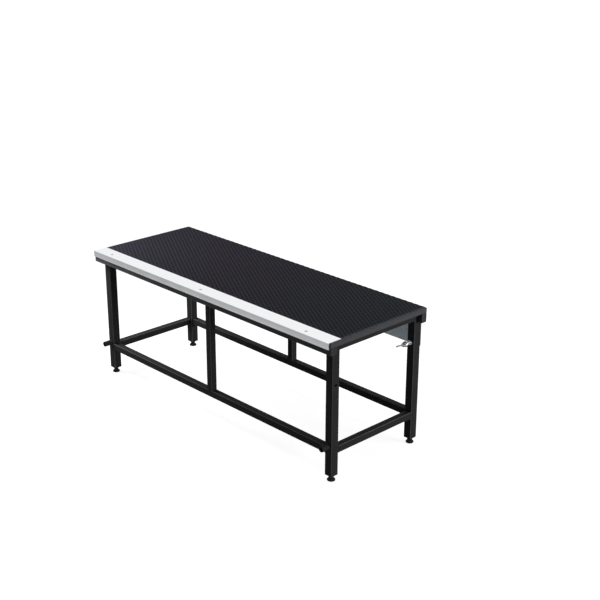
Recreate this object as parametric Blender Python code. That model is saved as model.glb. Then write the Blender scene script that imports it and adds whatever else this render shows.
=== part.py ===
"""One stage step module, 400 mm high, for a flight of 200 mm rises.

A plywood deck with an aluminium nosing lies on a welded frame of square steel tube.
The frame has four legs on threaded levelling feet, a ring of upper rails, a ring of
lower rails and two centre posts. Two wing screws in the rear legs reach the threaded
bosses on the front legs of the next module.

Metres, Z up, front edge of the deck towards -Y, origin on the floor at the middle.
"""
import math

import bmesh
import bpy
from mathutils import Matrix, Vector

# Overall size of the module and the clearance left at every joint face
STEP_WIDTH = 1.000
STEP_DEPTH = 0.363
STEP_HEIGHT = 0.400
RISE = 0.200
GAP = 0.0003

# Deck: plywood board, anti-slip covering and the aluminium nosing in front of it
BOARD_THICK = 0.012
COVER_THICK = 0.002
BOARD_EDGE_BEVEL = 0.0005
NOSING_LEAF = 0.045
NOSING_DROP = 0.0185
NOSING_LIP_THICK = 0.003
NOSING_RADIUS = 0.0012
NOSING_END_SHORT = 0.005
NOSING_SCREW_FIRST = 0.070
NOSING_SCREW_LAST = 0.100
NOSING_SCREW_SETBACK = 0.0165

# Welded frame of square tube
LEG = 0.025
LEG_WALL = 0.002
LEG_CORNER = 0.0025
SIDE_INSET = 0.014
FRONT_SETBACK = 0.026
REAR_SETBACK = 0.0045
RAIL = 0.020
RAIL_WALL = 0.0015
RAIL_CORNER = 0.002
LOWER_RAIL_Z = 0.079
END_CAP_FLANGE = 0.0015
END_CAP_DEPTH = 0.010
HANDRAIL_HOLE_DIA = 0.008
HANDRAIL_HOLE_BELOW = 0.127

# Strip under the rear edge of the deck and the sheet apron below it
FASCIA_HEIGHT = 0.026
FASCIA_RETURN = 0.0185
APRON_THICK = 0.0015
APRON_HEIGHT = 0.073
APRON_CORNER = 0.003

# Small screws: shank, heads and the run of thread in the part behind
SCREW_DIA = 0.004
SCREW_HEAD_DIA = 0.008
SCREW_PAN_HEIGHT = 0.0022
SCREW_FLUSH_DEPTH = 0.002
SCREW_SOCKET_ACROSS = 0.0026
SCREW_SOCKET_DEPTH = 0.0012
SCREW_BITE = 0.009
SCREW_REACH = 0.007

# Levelling feet
THREAD_DIA = 0.008
PAD_DIA = 0.022
PAD_HEIGHT = 0.006
PAD_WEB = 0.0025
STUD_HEAD_DIA = 0.0114
STUD_HEAD_HEIGHT = 0.002
STUD_TOP_Z = 0.052
COLLAR_ACROSS = 0.013
COLLAR_HEIGHT = 0.005
LOCK_NUT_ACROSS = 0.013
LOCK_NUT_HEIGHT = 0.0045
PLUG_FLANGE = 0.002
PLUG_DEPTH = 0.020
PLUG_BEVEL = 0.0006

# Wing screws, their nuts on the rear legs, and the bosses on the front legs
COUPLING_BELOW = 0.098
WELD_NUT_ACROSS = 0.013
WELD_NUT_HEIGHT = 0.0065
WING_TRAVEL = 0.013
WING_TIP_SETBACK = 0.002
WING_WASHER_DIA = 0.017
WING_WASHER_THICK = 0.0016
WING_HUB_DIA = 0.0135
WING_HUB_TOP_DIA = 0.0115
WING_HUB_HEIGHT = 0.010
WING_SPAN = 0.039
WING_HEIGHT = 0.020
WING_LOBE_RADIUS = 0.0062
WING_ROOT = 0.0062
WING_FOOT = 0.0015
WING_THICK = 0.0036
WING_BEVEL = 0.0009
WING_TURN_DEG = 25.0
BOSS_DIA = 0.016
SPACER_DIA = 0.018

ROUND_STEPS = 24
SMALL_ROUND_STEPS = 14
CORNER_STEPS = 3
TIP_CHAMFER = 0.0008

# Places that follow from the sizes above
HALF_WIDTH = STEP_WIDTH / 2
FRONT = -STEP_DEPTH / 2
REAR = STEP_DEPTH / 2
BOARD_TOP = STEP_HEIGHT - COVER_THICK
BOARD_UNDER = BOARD_TOP - BOARD_THICK
RAIL_TOP = BOARD_UNDER - GAP
RAIL_UNDER = RAIL_TOP - RAIL
LIP_BACK = FRONT + NOSING_LIP_THICK + GAP
NOSING_END = HALF_WIDTH - NOSING_END_SHORT
HANDRAIL_HOLE_Z = STEP_HEIGHT - HANDRAIL_HOLE_BELOW
COUPLING_Z = STEP_HEIGHT - COUPLING_BELOW
LEG_OUTER_X = HALF_WIDTH - SIDE_INSET
LEG_X = LEG_OUTER_X - LEG / 2
LEG_INNER_X = LEG_OUTER_X - LEG
LEG_FRONT_Y = FRONT + FRONT_SETBACK + LEG / 2
LEG_REAR_Y = REAR - REAR_SETBACK - LEG / 2
FRONT_FACE_Y = LEG_FRONT_Y - LEG / 2
REAR_FACE_Y = LEG_REAR_Y + LEG / 2
BORE_DIA = THREAD_DIA + 2 * GAP
CLEAR_DIA = THREAD_DIA + 4 * GAP
SCREW_HOLE_DIA = SCREW_DIA + 2 * GAP
COLLAR_Z = PAD_HEIGHT + GAP
LOCK_NUT_Z = COLLAR_Z + COLLAR_HEIGHT + GAP
PLUG_Z = LOCK_NUT_Z + LOCK_NUT_HEIGHT + GAP
LEG_BOTTOM = PLUG_Z + PLUG_FLANGE + GAP
FASCIA_FACE_Y = REAR_FACE_Y + GAP
FASCIA_UNDER = RAIL_TOP - FASCIA_HEIGHT
APRON_TOP = FASCIA_UNDER - GAP
APRON_BACK_Y = REAR_FACE_Y + GAP + APRON_THICK
WELD_NUT_FACE_Y = LEG_REAR_Y - LEG / 2 - GAP - WELD_NUT_HEIGHT
WASHER_BACK_Y = WELD_NUT_FACE_Y - GAP - WING_TRAVEL
HUB_FACE_Y = WASHER_BACK_Y - WING_WASHER_THICK - GAP
WING_TIP_Y = REAR - WING_TIP_SETBACK

AXES = {"X": Vector((1, 0, 0)), "Y": Vector((0, 1, 0)), "Z": Vector((0, 0, 1))}


def linear(code):
    """Turn a six digit sRGB colour into linear values."""
    values = []
    for start in (0, 2, 4):
        part = int(code[start:start + 2], 16) / 255
        values.append(part / 12.92 if part <= 0.04045 else ((part + 0.055) / 1.055) ** 2.4)
    return (*values, 1.0)


def make_material(name, code, roughness, metallic):
    material = bpy.data.materials.new(name)
    material.use_nodes = True
    shader = material.node_tree.nodes["Principled BSDF"]
    shader.inputs["Base Color"].default_value = linear(code)
    shader.inputs["Roughness"].default_value = roughness
    shader.inputs["Metallic"].default_value = metallic
    material.diffuse_color = linear(code)
    return material


def add_object(name, bm, material, location=(0, 0, 0), smooth=False):
    """Close a bmesh into a named object with its faces pointing out."""
    bmesh.ops.recalc_face_normals(bm, faces=bm.faces)
    mesh = bpy.data.meshes.new(name)
    bm.to_mesh(mesh)
    bm.free()
    obj = bpy.data.objects.new(name, mesh)
    bpy.context.scene.collection.objects.link(obj)
    obj.location = location
    mesh.materials.append(material)
    if smooth:
        mesh.shade_smooth()
        mesh.set_sharp_from_angle(angle=math.radians(32))
    return obj


def copy_object(source, name, location, turn_z=0.0):
    """A further piece of the same shape, standing at its own place."""
    obj = bpy.data.objects.new(name, source.data)
    bpy.context.scene.collection.objects.link(obj)
    obj.location = location
    obj.rotation_euler = (source.rotation_euler.x, source.rotation_euler.y, turn_z)
    return obj


def rounded_rectangle(width, height, radius):
    """Outline of a rectangle with rounded corners, anticlockwise."""
    points = []
    for quarter, (sx, sy) in enumerate(((1, 1), (-1, 1), (-1, -1), (1, -1))):
        cx = sx * (width / 2 - radius)
        cy = sy * (height / 2 - radius)
        for step in range(CORNER_STEPS + 1):
            angle = math.pi / 2 * (quarter + step / CORNER_STEPS)
            points.append((cx + radius * math.cos(angle), cy + radius * math.sin(angle)))
    return points


def circle(diameter):
    """Points round a circle, as many as a hexagon outline has here."""
    return [(diameter / 2 * math.cos(2 * math.pi * i / ROUND_STEPS),
             diameter / 2 * math.sin(2 * math.pi * i / ROUND_STEPS)) for i in range(ROUND_STEPS)]


def hexagon(across):
    """Points round a hexagon given across its flats, one flat towards +X."""
    points = []
    for i in range(ROUND_STEPS):
        angle = 2 * math.pi * i / ROUND_STEPS
        offset = (angle + math.pi / 6) % (math.pi / 3) - math.pi / 6
        radius = across / 2 / math.cos(offset)
        points.append((radius * math.cos(angle), radius * math.sin(angle)))
    return points


def loft(bm, sections, ring=False):
    """Skin a stack of (outline, height) sections; a ring closes back on its first one."""
    loops = [[bm.verts.new((x, y, height)) for x, y in points] for points, height in sections]
    for i in range(0 if ring else 1, len(loops)):
        low = loops[i - 1]
        high = loops[i]
        for j in range(len(low)):
            bm.faces.new((low[j - 1], low[j], high[j], high[j - 1]))
    if not ring:
        bm.faces.new(loops[0])
        bm.faces.new(loops[-1])


def turned(bm, profile, closed=False, steps=ROUND_STEPS):
    """Spin a profile of (radius, height) points once round Z."""
    verts = [bm.verts.new((radius, 0, height)) for radius, height in profile]
    first = 0 if closed else 1
    edges = [bm.edges.new((verts[i - 1], verts[i])) for i in range(first, len(verts))]
    bmesh.ops.spin(bm, geom=verts + edges, cent=(0, 0, 0), axis=(0, 0, 1),
                   angle=2 * math.pi, steps=steps, use_merge=True)
    bmesh.ops.remove_doubles(bm, verts=bm.verts, dist=1e-6)


def turn_to(bm, axis):
    """Turn a shape that was drawn along Z so that it runs along X or Y."""
    if axis == "X":
        turn = Matrix(((0, 0, 1, 0), (1, 0, 0, 0), (0, 1, 0, 0), (0, 0, 0, 1)))
    else:
        turn = Matrix.Rotation(-math.pi / 2, 4, "X")
    if axis != "Z":
        bmesh.ops.transform(bm, verts=bm.verts, matrix=turn)


def square_tube(name, axis, start, length, sides, wall, corner, material):
    """Hollow tube with rounded corners from the middle of its first end along an axis."""
    width, height = sides
    outer = rounded_rectangle(width, height, corner)
    inner = rounded_rectangle(width - 2 * wall, height - 2 * wall, corner / 2)
    bm = bmesh.new()
    loft(bm, ((outer, 0), (outer, length), (inner, length), (inner, 0)), ring=True)
    turn_to(bm, axis)
    return add_object(name, bm, material, start, smooth=True)


def tube_plug(name, axis, start, sides, wall, corner, flange, depth, bore, material):
    """Flanged plug for the end of a square tube, bored through when a bore is given."""
    width, height = sides
    slack = 2 * (wall + GAP)
    outer = rounded_rectangle(width, height, corner)
    eased = rounded_rectangle(width - 2 * PLUG_BEVEL, height - 2 * PLUG_BEVEL, corner * 0.8)
    body = rounded_rectangle(width - slack, height - slack, corner / 2)
    bm = bmesh.new()
    loft(bm, ((eased, 0), (outer, PLUG_BEVEL), (outer, flange), (body, flange),
              (body, flange + depth)))
    turn_to(bm, axis)
    plug = add_object(name, bm, material, start, smooth=True)
    if bore > 0:
        reach = 3 * (flange + depth)
        drill(plug, "cut_" + name, axis, [straight(start, bore, reach)])
    return plug


def sheet(name, outline, bottom, thick, material, bevel=0.0):
    """Flat piece of the given outline, its edges eased when a bevel is given."""
    bm = bmesh.new()
    loft(bm, ((outline, 0), (outline, thick)))
    obj = add_object(name, bm, material, (0, 0, bottom))
    if bevel > 0:
        modifier = obj.modifiers.new("Edges", "BEVEL")
        modifier.width = bevel
        modifier.segments = 1
        modifier.limit_method = "ANGLE"
    return obj


def washer(name, axis, start, outer, inner, thick, material):
    """Flat ring from a start point along an axis."""
    bm = bmesh.new()
    loft(bm, ((circle(outer), 0), (circle(outer), thick), (circle(inner), thick),
              (circle(inner), 0)), ring=True)
    turn_to(bm, axis)
    return add_object(name, bm, material, start, smooth=True)


def nut(name, axis, start, across, bore, height, material):
    """Hexagon nut with chamfered corners from a start point along an axis."""
    ease = height * 0.12
    bm = bmesh.new()
    loft(bm, ((circle(across * 0.96), 0), (hexagon(across), ease),
              (hexagon(across), height - ease), (circle(across * 0.96), height),
              (circle(bore), height), (circle(bore), 0)), ring=True)
    turn_to(bm, axis)
    return add_object(name, bm, material, start, smooth=True)


def helper(name, bm):
    """Shape that only cuts or joins another one and isn't a piece itself."""
    bmesh.ops.recalc_face_normals(bm, faces=bm.faces)
    mesh = bpy.data.meshes.new(name)
    bm.to_mesh(mesh)
    bm.free()
    obj = bpy.data.objects.new(name, mesh)
    bpy.context.scene.collection.objects.link(obj)
    obj.hide_render = True
    obj.display_type = "WIRE"
    return obj


def combine(target, tool, operation):
    modifier = target.modifiers.new(tool.name, "BOOLEAN")
    modifier.operation = operation
    modifier.solver = "EXACT"
    modifier.object = tool


def straight(centre, diameter, length):
    return (Vector(centre), diameter, diameter, length)


def seat(place, axis):
    """Countersink for a flush screw head whose top is at the given place."""
    low = SCREW_HOLE_DIA
    slope = SCREW_HEAD_DIA - SCREW_DIA
    centre = Vector(place) - AXES[axis] * SCREW_FLUSH_DEPTH / 8
    return (centre, low - slope / 4, low + 2 * slope, SCREW_FLUSH_DEPTH * 9 / 4)


def drill(target, name, axis, holes):
    """Cut holes along one axis; each is (centre, near diameter, far diameter, length)."""
    turn = AXES["Z"].rotation_difference(AXES[axis]).to_matrix().to_4x4()
    bm = bmesh.new()
    for centre, near, far, length in holes:
        part = bmesh.ops.create_cone(bm, cap_ends=True, segments=SMALL_ROUND_STEPS,
                                     radius1=near / 2, radius2=far / 2, depth=length)
        bmesh.ops.transform(bm, verts=part["verts"], matrix=Matrix.Translation(centre) @ turn)
    combine(target, helper(name, bm), "DIFFERENCE")


def screw_row(names, places, axis, facing, flush, reach, material):
    """Alike small screws, each with its head towards one side of an axis."""
    radius = SCREW_DIA / 2
    head = SCREW_HEAD_DIA / 2
    socket = SCREW_SOCKET_ACROSS / 2
    if flush:
        top = 0.0
        rim = [(head, top), (radius, -SCREW_FLUSH_DEPTH)]
    else:
        top = SCREW_PAN_HEIGHT
        rim = [(head * 0.62, top), (head * 0.93, top * 0.62), (head, 0.0), (radius, 0.0)]
    profile = [(0.0, top - SCREW_SOCKET_DEPTH), (socket, top - SCREW_SOCKET_DEPTH),
               (socket, top)] + rim + [(radius, radius - reach), (0.0, -reach)]
    bm = bmesh.new()
    turned(bm, profile, steps=SMALL_ROUND_STEPS)
    turn = AXES["Z"].rotation_difference(AXES[axis] * facing).to_matrix().to_4x4()
    bmesh.ops.transform(bm, verts=bm.verts, matrix=turn)
    first = add_object(names[0], bm, material, places[0], smooth=True)
    for name, place in zip(names[1:], places[1:]):
        copy_object(first, name, place)


def both_sides(places):
    """Each place and its twin on the other side of the module."""
    return [(side * x, y, z) for x, y, z in places for side in (-1, 1)]


def build_deck(paint):
    """Board, covering, nosing, fascia and the screws that hold them."""
    left = -HALF_WIDTH
    right = HALF_WIDTH
    board = sheet("deck_board", ((left, LIP_BACK), (right, LIP_BACK), (right, REAR), (left, REAR)),
                  BOARD_UNDER, BOARD_THICK - GAP, paint["edge"], BOARD_EDGE_BEVEL)
    through = [straight((x, y, BOARD_UNDER), SCREW_HOLE_DIA, 3 * BOARD_THICK)
               for x, y, z in NOSING_SCREWS]
    blind = [straight((x, y, BOARD_UNDER), SCREW_HOLE_DIA, 2 * (SCREW_BITE + GAP))
             for x, y, z in DECK_SCREWS]
    drill(board, "cut_board", "Z", through + blind)

    # Beside the short end of the nosing the covering runs on to the front of the board
    behind = FRONT + NOSING_LEAF + GAP
    beside = NOSING_END + GAP
    sheet("deck_covering", ((left, behind), (beside, behind), (beside, LIP_BACK),
                            (right, LIP_BACK), (right, REAR), (left, REAR)),
          BOARD_TOP, COVER_THICK, paint["covering"])

    # The nosing is an unequal angle, drawn on its end and drawn out along the front
    bm = bmesh.new()
    outline = ((0, -NOSING_DROP), (NOSING_LIP_THICK, -NOSING_DROP),
               (NOSING_LIP_THICK, -COVER_THICK), (NOSING_LEAF, -COVER_THICK),
               (NOSING_LEAF, 0), (0, 0))
    verts = [bm.verts.new((0, y, z)) for y, z in outline]
    bm.faces.new(verts)
    bmesh.ops.bevel(bm, geom=[verts[0], verts[5]], offset=NOSING_RADIUS,
                    segments=CORNER_STEPS, profile=0.5, affect="VERTICES", material=-1)
    raised = bmesh.ops.extrude_face_region(bm, geom=bm.faces[:])["geom"]
    moved = [item for item in raised if isinstance(item, bmesh.types.BMVert)]
    bmesh.ops.translate(bm, verts=moved, vec=(NOSING_END + HALF_WIDTH, 0, 0))
    nosing = add_object("nosing", bm, paint["aluminium"], (-HALF_WIDTH, FRONT, STEP_HEIGHT),
                        smooth=True)
    drill(nosing, "cut_nosing_holes", "Z",
          [straight(place, SCREW_HOLE_DIA, 4 * COVER_THICK) for place in NOSING_SCREWS])
    drill(nosing, "cut_nosing_seats", "Z", [seat(place, "Z") for place in NOSING_SCREWS])
    screw_row(["nosing_screw_" + place for place in ("left", "middle", "right")],
              NOSING_SCREWS, "Z", 1, True, COVER_THICK + BOARD_THICK + SCREW_REACH,
              paint["dark_steel"])
    screw_row(["deck_screw_" + place for place in ("front_left", "front_right", "rear_left",
                                                   "rear_right")],
              DECK_SCREWS, "Z", -1, False, BOARD_UNDER + SCREW_BITE - DECK_SCREWS[0][2],
              paint["zinc"])

    # The ends of the fascia come forward beside the legs, flush with the sides of the board
    past_leg = LEG_OUTER_X + GAP
    forward = REAR - FASCIA_RETURN
    sheet("rear_fascia", ((left, REAR), (left, forward), (-past_leg, forward),
                          (-past_leg, FASCIA_FACE_Y), (past_leg, FASCIA_FACE_Y),
                          (past_leg, forward), (right, forward), (right, REAR)),
          FASCIA_UNDER, FASCIA_HEIGHT, paint["edge"], BOARD_EDGE_BEVEL)


def build_rails(paint):
    """Two rings of rails, the centre posts and the caps of the open rail ends."""
    between_legs = 2 * (LEG_INNER_X - GAP)
    side_start = LEG_FRONT_Y + LEG / 2 + GAP
    lower_length = LEG_REAR_Y - LEG / 2 - GAP - side_start
    upper_length = REAR_FACE_Y - RAIL - GAP - side_start
    side_x = LEG_OUTER_X - RAIL / 2
    front_y = FRONT_FACE_Y + RAIL / 2
    rear_y = REAR_FACE_Y - RAIL / 2
    upper_z = RAIL_TOP - RAIL / 2
    lower_z = LOWER_RAIL_Z + RAIL / 2
    square = (RAIL, RAIL)

    front_depth = FRONT_FACE_Y - GAP - LIP_BACK
    front_sides = (front_depth, RAIL)
    front_start = -HALF_WIDTH + END_CAP_FLANGE + GAP
    front_middle = LIP_BACK + front_depth / 2
    front_rail = square_tube("front_upper_rail", "X", (front_start, front_middle, upper_z),
                             -2 * front_start, front_sides, RAIL_WALL, RAIL_CORNER,
                             paint["frame"])
    cap = tube_plug("front_rail_cap_left", "X", (-HALF_WIDTH, front_middle, upper_z),
                    front_sides, RAIL_WALL, RAIL_CORNER, END_CAP_FLANGE, END_CAP_DEPTH, 0,
                    paint["plastic"])
    copy_object(cap, "front_rail_cap_right", (HALF_WIDTH, front_middle, upper_z), math.pi)

    # The rear rail lies on top of the rear legs, and the side rails end against it
    rear_start = -LEG_OUTER_X + END_CAP_FLANGE + GAP
    square_tube("rear_upper_rail", "X", (rear_start, rear_y, upper_z), -2 * rear_start, square,
                RAIL_WALL, RAIL_CORNER, paint["frame"])
    cap = tube_plug("rear_rail_cap_left", "X", (-LEG_OUTER_X, rear_y, upper_z), square,
                    RAIL_WALL, RAIL_CORNER, END_CAP_FLANGE, END_CAP_DEPTH, 0,
                    paint["plastic"])
    copy_object(cap, "rear_rail_cap_right", (LEG_OUTER_X, rear_y, upper_z), math.pi)
    side_rails = [square_tube(name, "Y", (side * side_x, side_start, upper_z), upper_length,
                              square, RAIL_WALL, RAIL_CORNER, paint["frame"])
                  for name, side in (("left_upper_rail", -1), ("right_upper_rail", 1))]

    drill(front_rail, "cut_front_rail_top", "Z",
          [straight((x, y, RAIL_TOP), SCREW_HOLE_DIA, RAIL) for x, y, z in NOSING_SCREWS])
    for i, rail in enumerate(side_rails):
        drill(rail, "cut_" + rail.name, "Z",
              [straight(place, SCREW_HOLE_DIA, 3 * RAIL) for place in DECK_SCREWS[i::2]])

    for name, y in (("front_lower_rail", front_y), ("rear_lower_rail", rear_y)):
        square_tube(name, "X", (-between_legs / 2, y, lower_z), between_legs, square, RAIL_WALL,
                    RAIL_CORNER, paint["frame"])
    for name, side in (("left_lower_rail", -1), ("right_lower_rail", 1)):
        square_tube(name, "Y", (side * side_x, side_start, lower_z), lower_length, square,
                    RAIL_WALL, RAIL_CORNER, paint["frame"])
    post_foot = LOWER_RAIL_Z + RAIL + GAP
    for name, y, top in (("front_centre_post", front_y, RAIL_TOP),
                         ("rear_centre_post", rear_y, RAIL_UNDER - GAP)):
        square_tube(name, "Z", (0, y, post_foot), top - post_foot, square, RAIL_WALL,
                    RAIL_CORNER, paint["frame"])


def build_legs(paint):
    """Four legs with their drillings, plugs, lock nuts and levelling feet."""
    for row, y, top in (("front", LEG_FRONT_Y, RAIL_TOP),
                        ("rear", LEG_REAR_Y, RAIL_UNDER - GAP)):
        for hand, side in (("left", -1), ("right", 1)):
            corner = row + "_" + hand
            x = side * LEG_X
            leg = square_tube("leg_" + corner, "Z", (x, y, LEG_BOTTOM), top - LEG_BOTTOM,
                              (LEG, LEG), LEG_WALL, LEG_CORNER, paint["frame"])
            if row == "front":
                drill(leg, "cut_handrail_" + corner, "X",
                      [straight((side * LEG_OUTER_X, y, HANDRAIL_HOLE_Z), HANDRAIL_HOLE_DIA,
                                LEG)])
            else:
                drill(leg, "cut_coupling_" + corner, "Y",
                      [straight((x, y, COUPLING_Z), CLEAR_DIA, 2 * LEG)])
                drill(leg, "cut_apron_" + corner, "Y",
                      [straight((x, REAR_FACE_Y, APRON_SCREWS[0][2]), SCREW_HOLE_DIA, LEG)])
            tube_plug("plug_" + corner, "Z", (x, y, PLUG_Z), (LEG, LEG), LEG_WALL, LEG_CORNER,
                      PLUG_FLANGE, PLUG_DEPTH, BORE_DIA, paint["plastic"])
            nut("lock_nut_" + corner, "Z", (x, y, LOCK_NUT_Z), LOCK_NUT_ACROSS, BORE_DIA,
                LOCK_NUT_HEIGHT, paint["dark_steel"])
            build_foot(corner, x, y, paint)


def build_foot(corner, x, y, paint):
    """Pad with its captive threaded stud; both stand on the axis of the leg."""
    web_under = PAD_HEIGHT - PAD_WEB
    edge = PAD_DIA / 2
    cavity = STUD_HEAD_DIA / 2 + GAP
    bm = bmesh.new()
    turned(bm, ((cavity, 0), (edge - TIP_CHAMFER, 0), (edge, TIP_CHAMFER), (edge, web_under),
                (edge * 0.72, PAD_HEIGHT), (BORE_DIA / 2, PAD_HEIGHT),
                (BORE_DIA / 2, web_under), (cavity, web_under)), closed=True)
    add_object("foot_pad_" + corner, bm, paint["rubber"], (x, y, 0), smooth=True)

    head_top = web_under - GAP
    shank = circle(THREAD_DIA)
    point = circle(THREAD_DIA - 2 * TIP_CHAMFER)
    bm = bmesh.new()
    loft(bm, ((circle(STUD_HEAD_DIA), head_top - STUD_HEAD_HEIGHT),
              (circle(STUD_HEAD_DIA), head_top), (shank, head_top), (shank, COLLAR_Z),
              (circle(COLLAR_ACROSS * 0.96), COLLAR_Z),
              (hexagon(COLLAR_ACROSS), COLLAR_Z + TIP_CHAMFER),
              (hexagon(COLLAR_ACROSS), COLLAR_Z + COLLAR_HEIGHT - TIP_CHAMFER),
              (circle(COLLAR_ACROSS * 0.96), COLLAR_Z + COLLAR_HEIGHT),
              (shank, COLLAR_Z + COLLAR_HEIGHT), (shank, STUD_TOP_Z - TIP_CHAMFER),
              (point, STUD_TOP_Z)))
    add_object("foot_stud_" + corner, bm, paint["dark_steel"], (x, y, 0), smooth=True)


def wing_outline():
    """Outline of both wings in (sideways, forward) points, forward from the hub's seat."""
    middle = WING_SPAN / 2 - WING_LOBE_RADIUS
    height = WING_HEIGHT - WING_LOBE_RADIUS
    half = [(WING_ROOT, WING_FOOT)]
    steps = 10
    for i in range(steps + 1):
        angle = math.radians(-42 + 208 * i / steps)
        half.append((middle + WING_LOBE_RADIUS * math.cos(angle),
                     height + WING_LOBE_RADIUS * math.sin(angle)))
    half.append((WING_ROOT * 0.5, WING_HUB_HEIGHT * 0.75))
    return half + [(-x, forward) for x, forward in reversed(half)]


def build_wing_screw(hand, side, paint):
    """Wing screw on its axis: a hub turned with the shank, and wings joined across it."""
    length = WING_TIP_Y - HUB_FACE_Y
    radius = THREAD_DIA / 2
    hub = WING_HUB_DIA / 2
    top = WING_HUB_TOP_DIA / 2
    bm = bmesh.new()
    turned(bm, ((0, length), (radius - TIP_CHAMFER, length), (radius, length - TIP_CHAMFER),
                (radius, 0), (hub, 0), (hub, -WING_HUB_HEIGHT * 0.2),
                (top, TIP_CHAMFER - WING_HUB_HEIGHT), (top - TIP_CHAMFER, -WING_HUB_HEIGHT),
                (0, -WING_HUB_HEIGHT)))
    turn_to(bm, "Y")
    place = Vector((side * LEG_X, HUB_FACE_Y, COUPLING_Z))
    screw = add_object("wing_screw_" + hand, bm, paint["zinc"], place, smooth=True)

    bm = bmesh.new()
    verts = [bm.verts.new((x, -forward, -WING_THICK / 2)) for x, forward in wing_outline()]
    face = bm.faces.new(verts)
    raised = bmesh.ops.extrude_face_region(bm, geom=[face])["geom"]
    moved = [item for item in raised if isinstance(item, bmesh.types.BMVert)]
    bmesh.ops.translate(bm, verts=moved, vec=(0, 0, WING_THICK))
    flat = [edge for edge in bm.edges if abs(edge.verts[0].co.z - edge.verts[1].co.z) < 1e-9]
    bmesh.ops.bevel(bm, geom=flat, offset=WING_BEVEL, segments=2, profile=0.5,
                    affect="EDGES", material=-1)
    wings = helper("join_wings_" + hand, bm)
    wings.location = place
    for obj in (screw, wings):
        obj.rotation_euler.y = -side * math.radians(WING_TURN_DEG)
    combine(screw, wings, "UNION")


def build_coupling(paint):
    """Apron behind the rear legs and everything that joins two modules."""
    bm = bmesh.new()
    outline = rounded_rectangle(2 * LEG_OUTER_X, APRON_HEIGHT, APRON_CORNER)
    loft(bm, ((outline, 0), (outline, APRON_THICK)))
    turn_to(bm, "Y")
    apron = add_object("rear_apron", bm, paint["galvanised"],
                       (0, APRON_BACK_Y - APRON_THICK, APRON_TOP - APRON_HEIGHT / 2))
    wing_places = [(side * LEG_X, APRON_BACK_Y, COUPLING_Z) for side in (-1, 1)]
    drill(apron, "cut_apron_holes", "Y",
          [straight(place, CLEAR_DIA, 8 * APRON_THICK) for place in wing_places]
          + [straight(place, SCREW_HOLE_DIA, 8 * APRON_THICK) for place in APRON_SCREWS])
    screw_row(["apron_screw_left", "apron_screw_right"], APRON_SCREWS, "Y", 1, False,
              APRON_THICK + SCREW_REACH, paint["zinc"])

    spacer_start = APRON_BACK_Y + GAP
    boss_length = FRONT_FACE_Y - GAP - FRONT
    for hand, side in (("left", -1), ("right", 1)):
        x = side * LEG_X
        nut("weld_nut_" + hand, "Y", (x, WELD_NUT_FACE_Y, COUPLING_Z), WELD_NUT_ACROSS,
            BORE_DIA, WELD_NUT_HEIGHT, paint["zinc"])
        washer("coupling_spacer_" + hand, "Y", (x, spacer_start, COUPLING_Z), SPACER_DIA,
               CLEAR_DIA, REAR - spacer_start, paint["plastic"])
        washer("coupling_boss_" + hand, "Y", (x, FRONT, COUPLING_Z - RISE), BOSS_DIA,
               BORE_DIA, boss_length, paint["frame"])
        washer("wing_washer_" + hand, "Y", (x, HUB_FACE_Y + GAP, COUPLING_Z), WING_WASHER_DIA,
               BORE_DIA, WING_WASHER_THICK, paint["zinc"])
        build_wing_screw(hand, side, paint)


NOSING_SCREW_SPAN = STEP_WIDTH - NOSING_SCREW_FIRST - NOSING_SCREW_LAST
NOSING_SCREWS = [(-HALF_WIDTH + NOSING_SCREW_FIRST + NOSING_SCREW_SPAN * i / 2,
                  FRONT + NOSING_SCREW_SETBACK, STEP_HEIGHT) for i in range(3)]
DECK_SCREWS = both_sides([(LEG_OUTER_X - RAIL / 2, FRONT * 0.40, RAIL_UNDER - GAP),
                          (LEG_OUTER_X - RAIL / 2, REAR * 0.50, RAIL_UNDER - GAP)])
APRON_SCREWS = both_sides([(LEG_X, APRON_BACK_Y + GAP, APRON_TOP - APRON_HEIGHT * 0.3)])


def main():
    for obj in list(bpy.data.objects):
        bpy.data.objects.remove(obj, do_unlink=True)
    paint = {
        "edge": make_material("painted_board_edge", "50535A", 0.55, 0.0),
        "covering": make_material("anti_slip_covering", "2B2C31", 0.8, 0.0),
        "aluminium": make_material("mill_aluminium", "D6D7DA", 0.38, 1.0),
        "frame": make_material("black_powder_coat", "232324", 0.5, 0.0),
        "galvanised": make_material("galvanised_sheet", "868C92", 0.5, 0.8),
        "plastic": make_material("black_plastic", "1B1B1C", 0.45, 0.0),
        "rubber": make_material("black_rubber", "161617", 0.85, 0.0),
        "zinc": make_material("zinc_plated_steel", "BFC2C6", 0.35, 1.0),
        "dark_steel": make_material("blackened_steel", "2E2E30", 0.45, 0.7),
    }
    build_deck(paint)
    build_rails(paint)
    build_legs(paint)
    build_coupling(paint)


main()
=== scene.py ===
# %% [markdown]
# # A stage step module, dressed over its solid model
#
# The object is one step of a modular flight: a plywood deck with an anti-slip film, an
# aluminium nosing, and a welded frame of black square tube on levelling feet. The solid
# model already has every rigid piece at its real size. This lesson gives each of them its
# finish, and models what is too fine for the solids: the pressed mesh of the deck film,
# the weld beads, the screw threads and the screws of the rear strip.

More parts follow.
